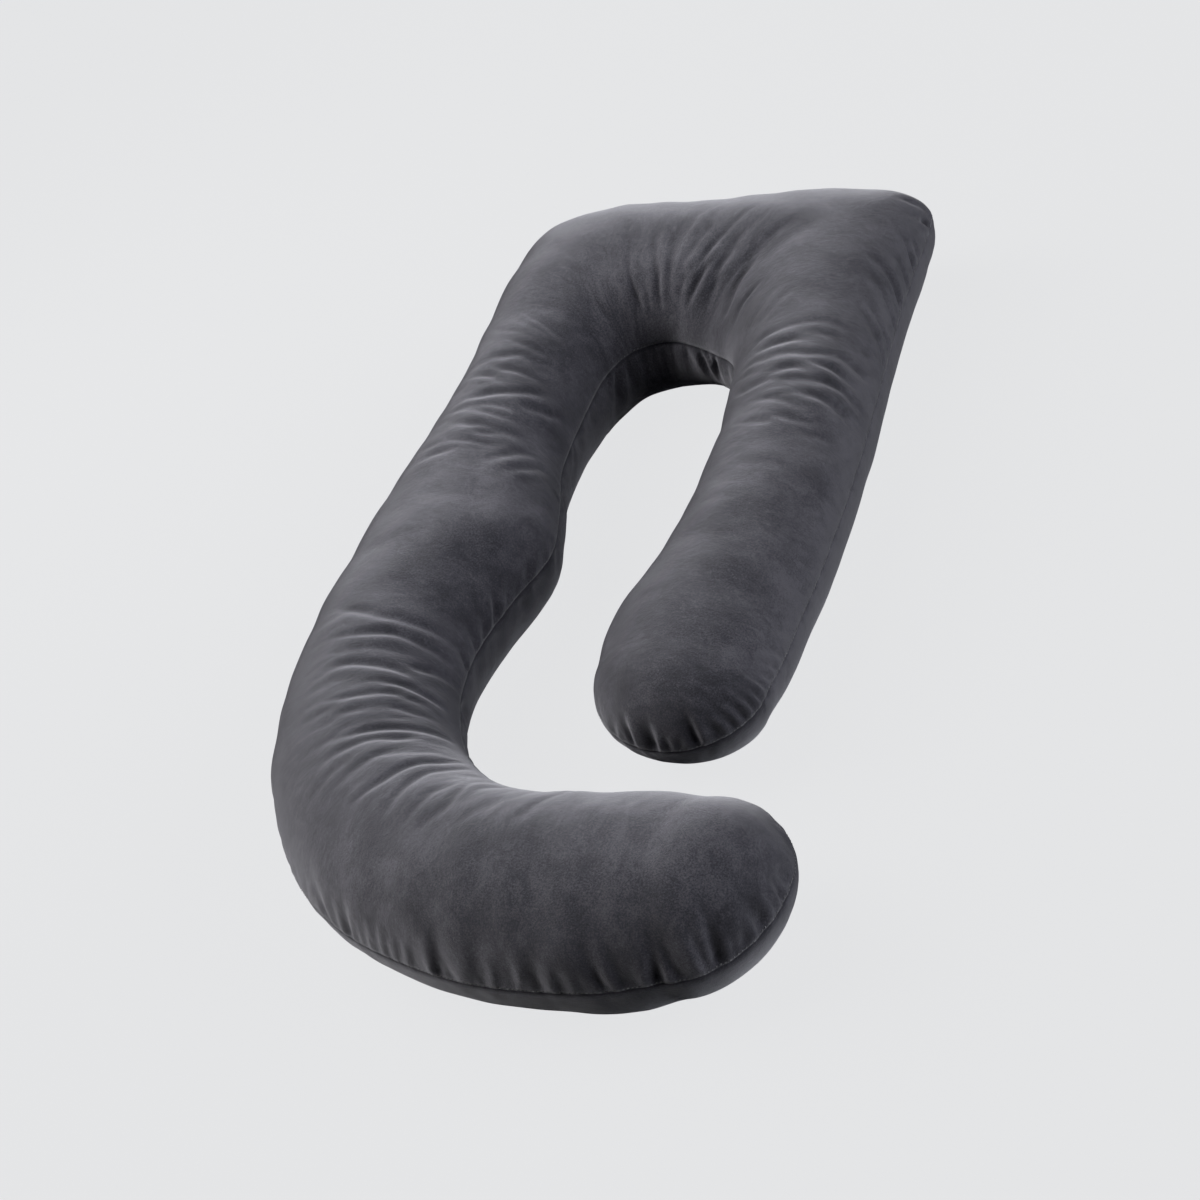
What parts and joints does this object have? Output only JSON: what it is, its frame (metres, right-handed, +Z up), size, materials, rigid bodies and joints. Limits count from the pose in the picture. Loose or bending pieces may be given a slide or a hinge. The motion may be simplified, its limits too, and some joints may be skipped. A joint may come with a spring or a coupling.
{
  "type": "body pillow",
  "caption": "Full-length bent body pillow: one stuffed velvet tube with a free arm, a square head end, a swelled long arm and a hooked foot end.",
  "frame": {"origin": "on the surface it lies on, under the middle of its box", "axes": "+Y from the hooked foot end to the head end, +X towards the free arm, +Z up out of the face"},
  "size_m": [0.7962, 1.4354, 0.2236],
  "materials": {
    "cover": "short-pile velvet, dark grey"
  },
  "bodies": {
    "root": {"filled_cover": "cover"}
  },
  "joints": []
}
